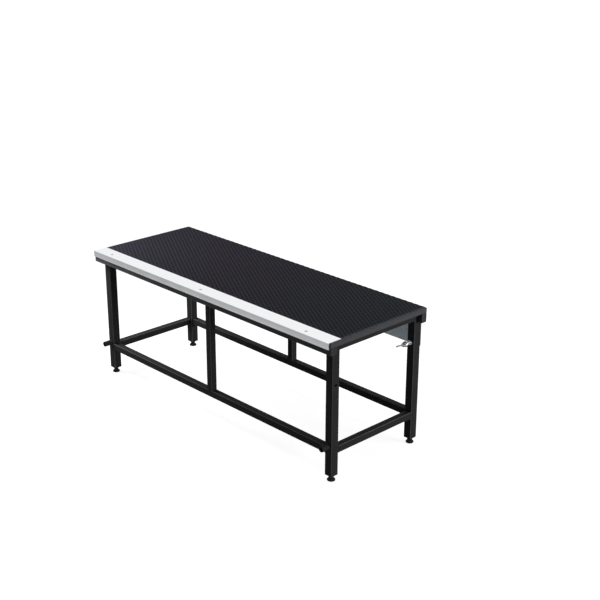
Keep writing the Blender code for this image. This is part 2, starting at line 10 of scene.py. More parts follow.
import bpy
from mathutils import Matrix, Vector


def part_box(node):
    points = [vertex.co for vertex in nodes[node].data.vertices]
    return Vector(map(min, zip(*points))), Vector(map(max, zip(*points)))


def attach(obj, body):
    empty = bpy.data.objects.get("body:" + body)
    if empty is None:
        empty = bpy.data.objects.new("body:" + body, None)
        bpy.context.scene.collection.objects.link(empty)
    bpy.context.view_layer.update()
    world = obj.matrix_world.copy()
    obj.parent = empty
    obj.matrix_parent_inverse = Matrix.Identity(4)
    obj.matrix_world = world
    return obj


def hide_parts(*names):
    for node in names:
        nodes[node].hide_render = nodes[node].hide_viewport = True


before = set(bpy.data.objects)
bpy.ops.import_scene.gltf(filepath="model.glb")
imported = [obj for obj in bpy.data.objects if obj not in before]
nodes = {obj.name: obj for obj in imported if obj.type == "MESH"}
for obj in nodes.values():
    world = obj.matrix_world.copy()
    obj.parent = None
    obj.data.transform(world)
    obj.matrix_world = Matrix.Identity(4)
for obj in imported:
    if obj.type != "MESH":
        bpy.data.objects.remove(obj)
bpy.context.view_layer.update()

# %% Tools from Blender and Python
import math

import bmesh
import bpy
from mathutils import Matrix, Vector

MM = 0.001

# %% [markdown]
# ## Camera
#
# The view was found by matching the corners of the deck and the feet of the module. It
# stands to the front right, well above the deck, with a rather long lens. Writing the
# place, the turn and the lens as three named values keeps the view easy to change. The
# alternative, aiming the camera at a target, would lose the slight roll.

# %% Set the camera
CAMERA_PLACE = (2.33021, -2.04580, 1.49672)
CAMERA_TURN_DEG = (69.38643, -0.22428, 46.15798)
CAMERA_LENS_MM = 69.8626

camera_data = bpy.data.cameras.new("camera")
camera_data.lens = CAMERA_LENS_MM
camera_data.sensor_width = 36.0
camera = bpy.data.objects.new("camera", camera_data)
camera.location = CAMERA_PLACE
camera.rotation_euler = [math.radians(angle) for angle in CAMERA_TURN_DEG]
bpy.context.scene.collection.objects.link(camera)
bpy.context.scene.camera = camera
bpy.context.scene.view_settings.view_transform = "Standard"
print("camera at", CAMERA_PLACE)

# %% [markdown]
# ## How the finishes are written
#
# Every finish is a node material. Colours are typed as the sRGB codes that a colour picker
# shows, and one function turns them into the linear values that a shader needs. One small
# function adds a node, sets its options and links its inputs. Short ones on top of it stand
# for what comes back in every material: a noise, a range led onto another, a sum, a blend
# of two colours, a bump. So a material reads as a short list of steps. All patterns read
# Object coordinates, which are metres here: a grain of 2 mm is a scale of 1 / 0.002.

# %% Helpers for materials
MIX_FACTOR, MIX_A, MIX_B = 0, 6, 7
MIX_VALUE_A, MIX_VALUE_B = 2, 3
MIX_COLOUR = 2


def linear(code):
    """Linear RGBA of a six digit sRGB code."""
    values = []
    for start in (0, 2, 4):
        part = int(code[start:start + 2], 16) / 255
        values.append(part / 12.92 if part <= 0.04045 else ((part + 0.055) / 1.055) ** 2.4)
    return (*values, 1.0)


def new_finish(name, **values):
    """Start a material and set the shader values that are the same all over."""
    material = bpy.data.materials.new(name)
    material.use_nodes = True
    shader = material.node_tree.nodes["Principled BSDF"]
    for socket, value in values.items():
        shader.inputs[socket.replace("_", " ")].default_value = value
    return material, shader


def add_node(material, kind, inputs, **settings):
    """Add a shader node; each input takes a value, a node's first output, or a socket."""
    tree = material.node_tree
    made = tree.nodes.new("ShaderNode" + kind)
    made.location = (-220 * len(tree.nodes), 0)
    for option, value in settings.items():
        setattr(made, option, value)
    for socket, value in inputs.items():
        if isinstance(value, bpy.types.Node):
            value = value.outputs[0]
        if isinstance(value, bpy.types.NodeSocket):
            tree.links.new(value, made.inputs[socket])
        else:
            made.inputs[socket].default_value = value
    return made


def link(material, source, shader, socket):
    """Lead a node's first output, or a named socket, into the shader."""
    output = source.outputs[0] if isinstance(source, bpy.types.Node) else source
    material.node_tree.links.new(output, shader.inputs[socket])


def per_mm(size):
    """Scale of a pattern whose features are this many millimetres wide."""
    return 1.0 / (size * MM)


def noise(material, where, size_mm, detail, roughness=0.5):
    """Noise whose features are this many millimetres wide."""
    return add_node(material, "TexNoise", {"Vector": where, "Scale": per_mm(size_mm),
                                           "Detail": detail, "Roughness": roughness})


def remap(material, value, old, new):
    """Lead one range of a value onto another, and hold it at the ends."""
    return add_node(material, "MapRange", {"Value": value, "From Min": old[0],
                                           "From Max": old[1], "To Min": new[0],
                                           "To Max": new[1]})


def calculate(material, operation, first, second):
    return add_node(material, "Math", {0: first, 1: second}, operation=operation)


def blend(material, factor, first, second):
    """Colour between two colours; a factor of 0 gives the first."""
    made = add_node(material, "Mix", {MIX_FACTOR: factor, MIX_A: first, MIX_B: second},
                    data_type="RGBA")
    return made.outputs[MIX_COLOUR]


def emboss(material, shader, height, strength, depth_mm):
    """Bump that stands up to this many millimetres out of the face."""
    bump = add_node(material, "Bump", {"Height": height, "Strength": strength,
                                       "Distance": depth_mm * MM})
    link(material, bump, shader, "Normal")


print("a 2 mm grain has scale", per_mm(2))

# %% [markdown]
# ## Powder coated steel
#
# The tubes are mild steel with a black polyester powder coat, sprayed dry and baked. The
# powder flows into a skin with a slight orange peel, which softens every reflection. The
# peel could be real geometry, but at a few hundredths of a millimetre it is only ever seen
# in the gloss, so a noise bump does it. Handling leaves the coat a little greyer in
# patches, and upright scuffs show here and there. The real peel is about 1.5 mm wide; it is
# drawn 3 mm wide so that it shows.
#
# The rounded corners of the tubes are painted paler: a painted highlight along each corner,
# in place of the gloss line that the barely glossy coat doesn't give. A corner is where the
# smooth normal leans away
# from all three axes. Welds and bosses are round all over and don't get that step. The front
# rail has a greyer coat than the rest: painted light, a lit copy of the coat for the
# brighter light on its face. The specular level is far below the usual 0.5: it was tuned
# until the coat was as dark as it looks.

# %% Powder coat
BARELY_GLOSSY = 0.02
SCUFF_GREY = "4E4E50"
CORNER_HIGHLIGHT_GREY = "77787B"


def powder_coat(name, dark, pale, painted_corner_highlights):
    finish, shader = new_finish(name, IOR=1.5, Specular_IOR_Level=BARELY_GLOSSY)
    spots = add_node(finish, "TexCoord", {})
    where = spots.outputs["Object"]
    patches = noise(finish, where, 60, 3.0, 0.6)
    shade = blend(finish, patches, linear(dark), linear(pale))
    stretched = add_node(finish, "Mapping", {"Vector": where, "Scale": (1.0, 1.0, 0.12)})
    scuffs = noise(finish, stretched, 5, 5.0, 0.7)
    worn = remap(finish, scuffs, (0.62, 0.80), (0.0, 0.35))
    colour = blend(finish, worn, shade, linear(SCUFF_GREY))
    # Painted highlight: the rounded corners are blended towards a paler grey.
    if painted_corner_highlights:
        leaning = add_node(finish, "VectorMath", {0: spots.outputs["Normal"]},
                           operation="ABSOLUTE")
        axes = add_node(finish, "SeparateXYZ", {"Vector": leaning})
        flat = calculate(finish, "MAXIMUM", axes.outputs["X"], axes.outputs["Y"])
        flat = calculate(finish, "MAXIMUM", flat, axes.outputs["Z"])
        corner = remap(finish, flat, (0.98, 0.80), (0.0, 0.9))
        colour = blend(finish, corner, colour, linear(CORNER_HIGHLIGHT_GREY))
    link(finish, colour, shader, "Base Color")
    dull = remap(finish, patches, (0.3, 0.7), (0.42, 0.58))
    link(finish, dull, shader, "Roughness")
    peel = noise(finish, where, 3, 1.0)
    emboss(finish, shader, peel, 0.35, 0.06)
    return finish


COATED = powder_coat("black_polyester_powder_coat", "2B2B2B", "383838", False)
# The tubes get the painted corner highlight; welds and bosses don't.
COATED_TUBE = powder_coat("black_polyester_powder_coat_on_tube", "2B2B2B", "383838", True)
# Painted light: the front rail gets a paler copy of the coat, standing for more light on its
# face.
LIT_FRONT_TUBE = powder_coat("black_polyester_powder_coat_painted_lit", "424244", "545457", True)
print("made", COATED.name, COATED_TUBE.name, LIT_FRONT_TUBE.name)

# %% [markdown]
# ## Phenolic film on the deck
#
# The tread is taken for birch plywood faced with a dark phenolic resin film. The press
# leaves a honeycomb mesh of raised lines in the film, which keeps shoes from slipping. The
# mesh is modelled further down as geometry, and its tops are a little less dull than the
# cells. The zigzag rows of lines that lie across the tread are painted paler than the rest:
# painted light, for the walls turned to the key lamp that would catch it. A wave texture
# draws that: a Mapping node turns the coordinates by 60 degrees and starts them on a cell,
# so that every crest falls on a zigzag row.
#
# Three more steps follow what the deck looks like. The right margin is paler, broken up by
# grit. The resin is warmer or cooler in cloudy patches. Towards the right end its tone is
# cooler and the painted light on the rows grows stronger.

# %% Deck film
HONEYCOMB_PITCH = 12 * MM
ROW_PITCH = HONEYCOMB_PITCH * math.cos(math.radians(30))
MESH_DEPTH = 0.45 * MM
PALE_MARGIN = 14 * MM
DECK_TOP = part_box("deck_covering")[1].z


def deck_film():
    low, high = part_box("deck_covering")
    finish, shader = new_finish("pressed_phenolic_film", IOR=1.5,
                                Specular_IOR_Level=BARELY_GLOSSY)
    where = add_node(finish, "TexCoord", {}).outputs["Object"]
    parts = add_node(finish, "SeparateXYZ", {"Vector": where})
    rightward = remap(finish, parts.outputs["X"], (low.x, high.x), (0.0, 1.0))
    clouds = noise(finish, where, 160, 2.0)
    cooler = remap(finish, rightward, (0.6, 1.0), (0.0, 0.6))
    tone = calculate(finish, "ADD", clouds, cooler)
    dark = blend(finish, tone, linear("201A22"), linear("1C1E23"))
    pale = blend(finish, tone, linear("2B2630"), linear("272A2F"))
    # Painted light: the wave below paints the zigzag rows paler, as if lit, and clear makes
    # it stronger towards the right end.
    turn = math.radians(60)
    start = low.x * math.cos(turn) + low.y * math.sin(turn)
    along_rows = add_node(finish, "Mapping", {"Vector": where, "Rotation": (0, 0, -turn),
                                              "Location": (-start, 0, 0)})
    rows = add_node(finish, "TexWave", {"Vector": along_rows,
                                        "Scale": math.pi / (10 * ROW_PITCH)},
                    wave_type="BANDS", bands_direction="X", wave_profile="SIN")
    clear = remap(finish, rightward, (0.0, 1.0), (0.72, 1.0))
    row = add_node(finish, "Mix", {MIX_FACTOR: clear, MIX_VALUE_A: 0.5,
                                   MIX_VALUE_B: rows.outputs["Fac"]})
    colour = blend(finish, row, dark, pale)
    # The right margin is blended paler, broken up by grit.
    margin = remap(finish, parts.outputs["X"], (high.x - PALE_MARGIN, high.x), (0.0, 1.0))
    grit = noise(finish, where, 7, 4.0, 0.7)
    worn = calculate(finish, "MULTIPLY", margin, grit)
    colour = blend(finish, worn, colour, linear("727378"))
    link(finish, colour, shader, "Base Color")
    heights = (DECK_TOP - MESH_DEPTH * 0.9, DECK_TOP - MESH_DEPTH * 0.1)
    raised = remap(finish, parts.outputs["Z"], heights, (0.0, 1.0))
    rubbed = remap(finish, raised, (0.0, 1.0), (0.72, 0.50))
    link(finish, rubbed, shader, "Roughness")
    skin = noise(finish, where, 1.6, 3.0)
    emboss(finish, shader, skin, 0.4, 0.08)
    return finish


FILM = deck_film()
print("honeycomb pitch", HONEYCOMB_PITCH, "depth", MESH_DEPTH)

# %% [markdown]
# ## Painted plywood edges
#
# The sawn edges of the board and the strip behind it are sealed with dark grey paint. End
# grain drinks the paint unevenly, so the plies stay readable as faint bands about 1.4 mm
# thick, with flecks where the saw tore a fibre. A wave texture along Z draws the plies,
# and a noise breaks them up. The flat underside of the board has a smooth brown-black film
# instead: the normal's Z tells the two apart. The strip is darker than the board.

# %% Board paint
PLY_MM = 1.4
FACING_DOWN = -0.7


def board_paint(name, thick_coat, thin_coat):
    finish, shader = new_finish(name, IOR=1.45, Specular_IOR_Level=0.12)
    spots = add_node(finish, "TexCoord", {})
    where = spots.outputs["Object"]
    plies = add_node(finish, "TexWave",
                     {"Vector": where, "Scale": math.pi / (10 * PLY_MM * MM),
                      "Distortion": 1.2, "Detail": 2.0, "Detail Scale": 8.0},
                     wave_type="BANDS", bands_direction="Z", wave_profile="SIN")
    grain = add_node(finish, "Mapping", {"Vector": where, "Scale": (0.4, 0.4, 1.0)})
    flecks = noise(finish, grain, 3.5, 4.0, 0.65)
    uneven = blend(finish, flecks, linear(thick_coat), linear(thin_coat))
    banded = remap(finish, plies.outputs["Fac"], (0.0, 1.0), (0.0, 0.30))
    edge = blend(finish, banded, uneven, linear("3A3B3F"))
    facing = add_node(finish, "SeparateXYZ", {"Vector": spots.outputs["Normal"]})
    under = calculate(finish, "LESS_THAN", facing.outputs["Z"], FACING_DOWN)
    colour = blend(finish, under, edge, linear("2A211D"))
    link(finish, colour, shader, "Base Color")
    dull = remap(finish, flecks, (0.3, 0.7), (0.5, 0.68))
    link(finish, dull, shader, "Roughness")
    relief = calculate(finish, "ADD", flecks, banded)
    emboss(finish, shader, relief, 0.5, 0.15)
    return finish


BOARD = board_paint("painted_birch_plywood_edge", "38383C", "5F5F63")
STRIP = board_paint("painted_birch_plywood_strip", "2C2C2F", "434447")
print("made", BOARD.name, STRIP.name)

# %% [markdown]
# ## Mill finished aluminium
#
# The nosing is an extruded angle used as it leaves the die. The die draws fine lines along
# the bar, here 0.6 mm apart and very long, and the metal between them is softly bright.
# Stretching a noise along X gives such lines. An image of brushed metal would tile and
# repeat; the noise doesn't. Shoes have dulled it here and there. The lip is painted darker
# towards its top: a painted shade that stands for a dimmer reflection there, and grows with
# the height on the faces turned to the front.

# %% Nosing metal
LIP_SHADE = 0.34


def mill_aluminium():
    low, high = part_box("nosing")
    finish, shader = new_finish("mill_finished_aluminium", Metallic=1.0)
    spots = add_node(finish, "TexCoord", {})
    where = spots.outputs["Object"]
    drawn = add_node(finish, "Mapping", {"Vector": where, "Scale": (0.004, 1.0, 1.0)})
    lines = noise(finish, drawn, 0.6, 4.0, 0.6)
    dulled = noise(finish, where, 45, 4.0, 0.6)
    colour = blend(finish, lines, linear("ECEDEF"), linear("F6F7F8"))
    parts = add_node(finish, "SeparateXYZ", {"Vector": where})
    # Painted shade: the faces turned to the front get darker towards the top of the lip.
    up = remap(finish, parts.outputs["Z"], (low.z, high.z), (0.0, LIP_SHADE))
    facing = add_node(finish, "SeparateXYZ", {"Vector": spots.outputs["Normal"]})
    front = remap(finish, facing.outputs["Y"], (-0.7, -1.0), (0.0, 1.0))
    painted_lip_shade = calculate(finish, "MULTIPLY", up, front)
    colour = blend(finish, painted_lip_shade, colour, linear("A8ACB0"))
    link(finish, colour, shader, "Base Color")
    rough = remap(finish, dulled, (0.3, 0.7), (0.36, 0.50))
    link(finish, rough, shader, "Roughness")
    emboss(finish, shader, lines, 0.25, 0.05)
    return finish


ALUMINIUM = mill_aluminium()
print("made", ALUMINIUM.name)

# %% [markdown]
# ## Galvanised sheet
#
# The apron is hot dip galvanised sheet. As the zinc freezes it grows flat crystals, the
# spangle, each leaning its own way and so a different grey. A Voronoi texture gives every
# cell one random colour, which is exactly that. The crystals are about 9 mm wide.

# %% Apron metal
def galvanised_sheet():
    finish, shader = new_finish("hot_dip_galvanised_steel", Metallic=0.85)
    where = add_node(finish, "TexCoord", {}).outputs["Object"]
    crystals = add_node(finish, "TexVoronoi", {"Vector": where, "Scale": per_mm(9)})
    lean = add_node(finish, "SeparateColor", {"Color": crystals.outputs["Color"]})
    colour = blend(finish, lean, linear("98A1A8"), linear("A4ADB4"))
    link(finish, colour, shader, "Base Color")
    rough = remap(finish, lean.outputs[1], (0.0, 1.0), (0.42, 0.62))
    link(finish, rough, shader, "Roughness")
    frost = noise(finish, where, 2.5, 3.0)
    emboss(finish, shader, frost, 0.2, 0.05)
    return finish


GALVANISED = galvanised_sheet()
print("made", GALVANISED.name)

# %% [markdown]
# ## Small hardware, plastic and rubber
#
# Washers, welded nuts and wing screws are turned or cast steel with bright zinc plating.
# The studs, their nuts and the flush screws are blackened by a hot salt bath, and the heads
# in the nosing are back to grey steel, as shoes would wear them. Tube plugs and end caps
# are injection moulded polyethylene with a fine spark eroded texture, and the pads are
# moulded rubber that has picked up floor dust. All of them are one shader with a noise in
# the roughness and the colour, and differ only in their values, so one function with named
# values makes the five. Each grain is drawn coarser than the real one, so that it shows.

# %% Plated, blackened, moulded
def small_part_finish(name, dark, light, grain_mm, roughness, relief_mm, **values):
    finish, shader = new_finish(name, **values)
    where = add_node(finish, "TexCoord", {}).outputs["Object"]
    grain = noise(finish, where, grain_mm, 4.0, 0.6)
    colour = blend(finish, grain, linear(dark), linear(light))
    link(finish, colour, shader, "Base Color")
    rough = remap(finish, grain, (0.3, 0.7), roughness)
    link(finish, rough, shader, "Roughness")
    emboss(finish, shader, grain, 0.3, relief_mm)
    return finish


ZINC = small_part_finish("bright_zinc_plated_steel", "B4B8BE", "DADDE1", 4.0, (0.24, 0.40),
                         0.03, Metallic=1.0)
BLACKENED = small_part_finish("black_oxide_steel", "202022", "3A3A3D", 2.0, (0.35, 0.55),
                              0.03, Metallic=0.9)
WORN_BLACK = small_part_finish("black_oxide_steel_worn_bright", "98999C", "B8B9BC", 2.0,
                               (0.35, 0.50), 0.03, Metallic=1.0)
MOULDED = small_part_finish("moulded_polyethylene", "151516", "222223", 1.0, (0.45, 0.60),
                            0.05, IOR=1.51, Specular_IOR_Level=0.22)
RUBBER = small_part_finish("moulded_nitrile_rubber", "121213", "2B2A29", 3.0, (0.75, 0.92),
                           0.08, IOR=1.5, Specular_IOR_Level=0.3)
print("made", ZINC.name, BLACKENED.name, WORN_BLACK.name, MOULDED.name, RUBBER.name)

# %% [markdown]
# ## Give the solids their finishes
#
# A solid's finish is chosen by how its name starts; the first start that fits wins. What
# isn't in the list is part of the welded frame and gets the powder coat.

# %% Dress the solids
FINISH_OF = {
    "deck_board": BOARD, "rear_fascia": STRIP, "deck_covering": FILM,
    "nosing_screw": WORN_BLACK, "nosing": ALUMINIUM, "rear_apron": GALVANISED,
    "coupling_boss": COATED, "front_upper_rail": LIT_FRONT_TUBE,
    "front_rail_cap": MOULDED, "rear_rail_cap": MOULDED, "plug_": MOULDED,
    "coupling_spacer": MOULDED, "foot_pad": RUBBER,
    "foot_stud": BLACKENED, "lock_nut": BLACKENED,
    "weld_nut": ZINC, "wing_": ZINC, "deck_screw": ZINC, "apron_screw": ZINC,
}

for name, node in nodes.items():
    finish = next((FINISH_OF[start] for start in FINISH_OF if name.startswith(start)),
                  COATED_TUBE)
    node.data.materials.clear()
    node.data.materials.append(finish)
print("dressed", len(nodes), "solids")

# %% [markdown]
# ## Helpers for new pieces
#
# A new piece is built in a bmesh at its place, becomes one object at the origin, and rides
# on the body it belongs to. Turned shapes are a line of (radius, height) points spun once
# round Z, then moved where they belong.

# %% Make a piece and spin a line
def make_piece(name, bm, finish, body, smooth_deg=40):
    bmesh.ops.recalc_face_normals(bm, faces=bm.faces)
    mesh = bpy.data.meshes.new(name)
    bm.to_mesh(mesh)
    bm.free()
    mesh.materials.append(finish)
    mesh.shade_smooth()
    mesh.set_sharp_from_angle(angle=math.radians(smooth_deg))
    piece = bpy.data.objects.new(name, mesh)
    bpy.context.scene.collection.objects.link(piece)
    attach(piece, body)
    return piece


def spin_line(bm, points, steps, place):
    """Spin (radius, height) points once round Z and move the turned shape to its place."""
    line = [bm.verts.new((radius, 0, height)) for radius, height in points]
    edges = [bm.edges.new(pair) for pair in zip(line, line[1:])]
    before = set(bm.verts) - set(line)
    bmesh.ops.spin(bm, geom=line + edges, cent=(0, 0, 0), axis=(0, 0, 1),
                   angle=2 * math.pi, steps=steps, use_merge=True)
    turned = [vert for vert in bm.verts if vert not in before]
    bmesh.ops.remove_doubles(bm, verts=turned, dist=1e-7)
    turned = [vert for vert in bm.verts if vert not in before]
    bmesh.ops.transform(bm, matrix=place, verts=turned)


def along(start, direction):
    """Place for a shape drawn up Z from the origin, so that it runs from start."""
    turn = Vector((0, 0, 1)).rotation_difference(Vector(direction)).to_matrix().to_4x4()
    return Matrix.Translation(start) @ turn


print("helpers ready")

# %% [markdown]
# ## The honeycomb mesh of the deck
#
# On the real board a steel mesh is pressed into the warm film, so the lines stand proud by
# about half a millimetre and the cells between them are flat. A bump would fade at a low
# view, so the mesh is geometry. It starts as one six sided cell from a circle operator,
# copied over the deck; each cell is inset and its middle lowered. Cells are cut off
# straight at the edges of the sheet by bisecting. Two more cuts, which keep both sides,
# draw the notch for the nosing. The sheet gets its thickness last, by pulling the border
# down to the underside of the solid covering.

# %% Press the mesh
JOINT_GAP = 0.3 * MM
MESH_LINE = 2.6 * MM
MESH_SLOPE = 0.7 * MM


def press_deck():
    low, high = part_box("deck_covering")
    nosing_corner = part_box("nosing")[1] + Vector((JOINT_GAP, JOINT_GAP, 0))
    bm = bmesh.new()
    corner = HONEYCOMB_PITCH / math.sqrt(3)
    column = corner * 1.5
    columns = math.ceil((high.x - low.x) / column) + 1
    rows = math.ceil((high.y - low.y) / HONEYCOMB_PITCH) + 1
    for i in range(columns):
        for j in range(rows):
            middle = Vector((low.x + column * i,
                             low.y + HONEYCOMB_PITCH * (j + 0.5 * (i % 2)), high.z))
            bmesh.ops.create_circle(bm, cap_ends=True, segments=6, radius=corner,
                                    matrix=Matrix.Translation(middle)
                                    @ Matrix.Rotation(math.pi / 2, 4, "Z"))
    bmesh.ops.remove_doubles(bm, verts=bm.verts, dist=0.1 * MM)
    cells = bm.faces[:]
    for thickness in (MESH_LINE / 2, MESH_SLOPE):
        bmesh.ops.inset_individual(bm, faces=cells, thickness=thickness,
                                   use_even_offset=True)
    floor = {vert for cell in cells for vert in cell.verts}
    bmesh.ops.translate(bm, verts=list(floor), vec=(0, 0, -MESH_DEPTH))
    for normal, point in (((-1, 0, 0), low), ((1, 0, 0), high), ((0, -1, 0), low),
                          ((0, 1, 0), high), ((1, 0, 0), nosing_corner),
                          ((0, 1, 0), nosing_corner)):
        bmesh.ops.bisect_plane(bm, geom=bm.verts[:] + bm.edges[:] + bm.faces[:], dist=1e-7,
                               plane_co=point, plane_no=normal,
                               clear_outer=point is not nosing_corner)
    under_nosing = [face for face in bm.faces
                    if face.calc_center_median().x < nosing_corner.x
                    and face.calc_center_median().y < nosing_corner.y]
    bmesh.ops.delete(bm, geom=under_nosing, context="FACES")
    border = [edge for edge in bm.edges if edge.is_boundary]
    walls = bmesh.ops.extrude_edge_only(bm, edges=border)["geom"]
    skirt = [item for item in walls if isinstance(item, bmesh.types.BMVert)]
    for vert in skirt:
        vert.co.z = low.z
    rim = [item for item in walls
           if isinstance(item, bmesh.types.BMEdge) and item.is_boundary]
    bmesh.ops.contextual_create(bm, geom=rim)
    piece = make_piece("deck_mesh_film", bm, FILM, "module")
    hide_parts("deck_covering")
    return piece


deck_film_piece = press_deck()
print("deck film has", len(deck_film_piece.data.polygons), "faces")

# %% [markdown]
# ## Screw threads
#
# The levelling studs and the wing screws are M8 with the usual pitch of 1.25 mm. The
# solids have a plain shank at the outside diameter, because a thread is too fine for them.
# Here the shank is cut off a copy of the solid with a bisecting plane, and a real thread is
# put in its place. Blender's Screw modifier would do, and so does the spin operator when
# every step also climbs: one pitch of the profile is spun through as many turns as the
# shank needs, the seams between turns are merged, and two planes cut it square.

# %% Cut a real thread
THREAD_PITCH = 1.25 * MM
THREAD_OUTER = 4.0 * MM
THREAD_ROOT = 3.35 * MM
THREAD_STEPS = 24
LEAD_IN = 0.8 * MM


def thread(bm, length):
    """Threaded rod up Z from the origin, with a chamfered end."""
    pitch = THREAD_PITCH
    points = ((THREAD_ROOT, 0), (THREAD_ROOT, pitch * 0.22), (THREAD_OUTER, pitch * 0.54),
              (THREAD_OUTER, pitch * 0.68), (THREAD_ROOT, pitch))
    before = set(bm.verts)
    line = [bm.verts.new((radius, 0, height - 2 * pitch)) for radius, height in points]
    edges = [bm.edges.new(pair) for pair in zip(line, line[1:])]
    turns = math.ceil(length / pitch) + 3
    bmesh.ops.spin(bm, geom=line + edges, cent=(0, 0, 0), axis=(0, 0, 1),
                   angle=2 * math.pi * turns, steps=THREAD_STEPS * turns,
                   dvec=(0, 0, pitch / THREAD_STEPS))
    rod = [vert for vert in bm.verts if vert not in before]
    bmesh.ops.remove_doubles(bm, verts=rod, dist=1e-6)
    for height, outward in ((0.0, -1), (length, 1)):
        rod = [vert for vert in bm.verts if vert not in before]
        around = list({edge for vert in rod for edge in vert.link_edges})
        faces = list({face for vert in rod for face in vert.link_faces})
        bmesh.ops.bisect_plane(bm, geom=rod + around + faces, dist=1e-7,
                               plane_co=(0, 0, height), plane_no=(0, 0, outward),
                               clear_outer=True)
    rod = [vert for vert in bm.verts if vert not in before]
    for vert in rod:
        allowed = THREAD_OUTER - LEAD_IN + (length - vert.co.z)
        radius = math.hypot(vert.co.x, vert.co.y)
        if radius > allowed:
            vert.co.x *= allowed / radius
            vert.co.y *= allowed / radius
    open_edges = [edge for vert in rod for edge in vert.link_edges if edge.is_boundary]
    bmesh.ops.holes_fill(bm, edges=list(set(open_edges)), sides=0)
    return [vert for vert in bm.verts if vert not in before]


def head_of(node, cut, outward):
    """Merged copy of a solid, cut off at a plane, with the cut closed."""
    bm = bmesh.new()
    bm.from_mesh(nodes[node].data)
    bmesh.ops.remove_doubles(bm, verts=bm.verts, dist=1e-6)
    made = bmesh.ops.bisect_plane(bm, geom=bm.verts[:] + bm.edges[:] + bm.faces[:],
                                  dist=1e-7, plane_co=cut, plane_no=outward,
                                  clear_outer=True)
    rim = [item for item in made["geom_cut"] if isinstance(item, bmesh.types.BMEdge)]
    bmesh.ops.holes_fill(bm, edges=[edge for edge in rim if edge.is_boundary], sides=0)
    return bm


print("thread of", THREAD_OUTER * 2 / MM, "mm,", THREAD_PITCH / MM, "mm pitch")

# %% [markdown]
# ### Levelling studs
#
# The hexagon collar is forged on the stud just above the pad, under the lock nut. The cut
# is made right at the collar's top, which lies a hair under the nut.

# %% Studs
CORNERS = [row + "_" + hand for row in ("front", "rear") for hand in ("left", "right")]


def levelling_stud(corner):
    node = "foot_stud_" + corner
    low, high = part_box(node)
    collar_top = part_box("lock_nut_" + corner)[0].z - JOINT_GAP
    bm = head_of(node, (0, 0, collar_top), (0, 0, 1))
    overlap = 0.2 * MM
    rod = thread(bm, high.z - collar_top + overlap)
    axis = Vector(((low.x + high.x) / 2, (low.y + high.y) / 2, collar_top - overlap))
    bmesh.ops.translate(bm, verts=rod, vec=axis)
    piece = make_piece("threaded_stud_" + corner, bm, BLACKENED, node)
    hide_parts(node)
    return piece


studs = [levelling_stud(corner) for corner in CORNERS]
print("studs with", [len(stud.data.polygons) for stud in studs], "faces")

# %% [markdown]
# ### Wing screws
#
# The hub and its two wings are one casting, pressed on the threaded shank. The hub ends at
# the washer that the wings push against.

# %% Wing screws
def wing_screw(hand):
    node = "wing_screw_" + hand
    low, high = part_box(node)
    washer_low, washer_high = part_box("wing_washer_" + hand)
    seat = washer_low.y - JOINT_GAP
    bm = head_of(node, (0, seat, 0), (0, 1, 0))
    overlap = 0.2 * MM
    rod = thread(bm, high.y - seat + overlap)
    axis = Vector(((washer_low.x + washer_high.x) / 2, seat - overlap,
                   (washer_low.z + washer_high.z) / 2))
    bmesh.ops.transform(bm, verts=rod, matrix=along(axis, (0, 1, 0)))
    piece = make_piece("wing_screw_threaded_" + hand, bm, ZINC, node)
    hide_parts(node)
    return piece


wing_screws = [wing_screw(hand) for hand in ("left", "right")]
print("wing screws with", [len(screw.data.polygons) for screw in wing_screws], "faces")

# %% [markdown]
# ## Weld beads
#
# The tubes are joined by short gas welded beads before they are coated. A bead is a row of
# puddles, each frozen over the last, so its outline along the seam is scalloped. Spinning a
# scalloped line about the seam gives a caterpillar that is half sunk in both tubes, and
# only the rounded fillet shows. The seams are found from the boxes of the solids: where a
# rail ends on a leg, a bead runs along each side of its end. On a side that is flush with
# the leg there is no corner to fill, so the bead is ground down: it is made thinner. Beside
# a plastic cap or a board there is no bead at all.

# %% Lay the beads
PUDDLE = 2.2 * MM
FILLET = 2.3 * MM
FLUSH_FILLET = 1.3 * MM
BEAD_STEPS = 10
BEAD_END = 1.5 * MM
BEAD_SINK = 0.3 * MM


def bead(bm, start, end, radius):
    """One straight bead between two points."""
    run = Vector(end) - Vector(start)
    puddles = max(3, round(run.length / PUDDLE))
    points = [(0, 0)]
    for i in range(puddles * 3):
        share = (i + 0.5) / (puddles * 3)
        swell = 0.86 + 0.14 * math.sin(math.pi * ((share * puddles) % 1.0))
        taper = min(1.0, 0.35 + 6 * min(share, 1 - share))
        points.append((radius * swell * taper, run.length * share))
    points.append((0, run.length))
    spin_line(bm, points, BEAD_STEPS, along(start, run.normalized()))


def seam_beads(bm, rail, axis, end, mate, skip=()):
    """Beads round one end of a rail, on the sides that the mate doesn't bury."""
    low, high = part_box(rail)
    mate_low, mate_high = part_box(mate)
    across = [i for i in range(3) if i != axis]
    plane = high[axis] if end > 0 else low[axis]
    for side in across:
        other = across[0] if side == across[1] else across[1]
        for sign in (-1, 1):
            if (side, sign) in skip:
                continue
            face = high[side] if sign > 0 else low[side]
            mate_face = mate_high[side] if sign > 0 else mate_low[side]
            flush = abs(face - mate_face) < 1.0 * MM
            radius = FLUSH_FILLET if flush else FILLET
            start = Vector((0, 0, 0))
            start[axis] = plane
            start[side] = face - sign * (radius * 0.75 if flush else BEAD_SINK)
            stop = start.copy()
            start[other] = low[other] + BEAD_END
            stop[other] = high[other] - BEAD_END
            bead(bm, start, stop, radius)


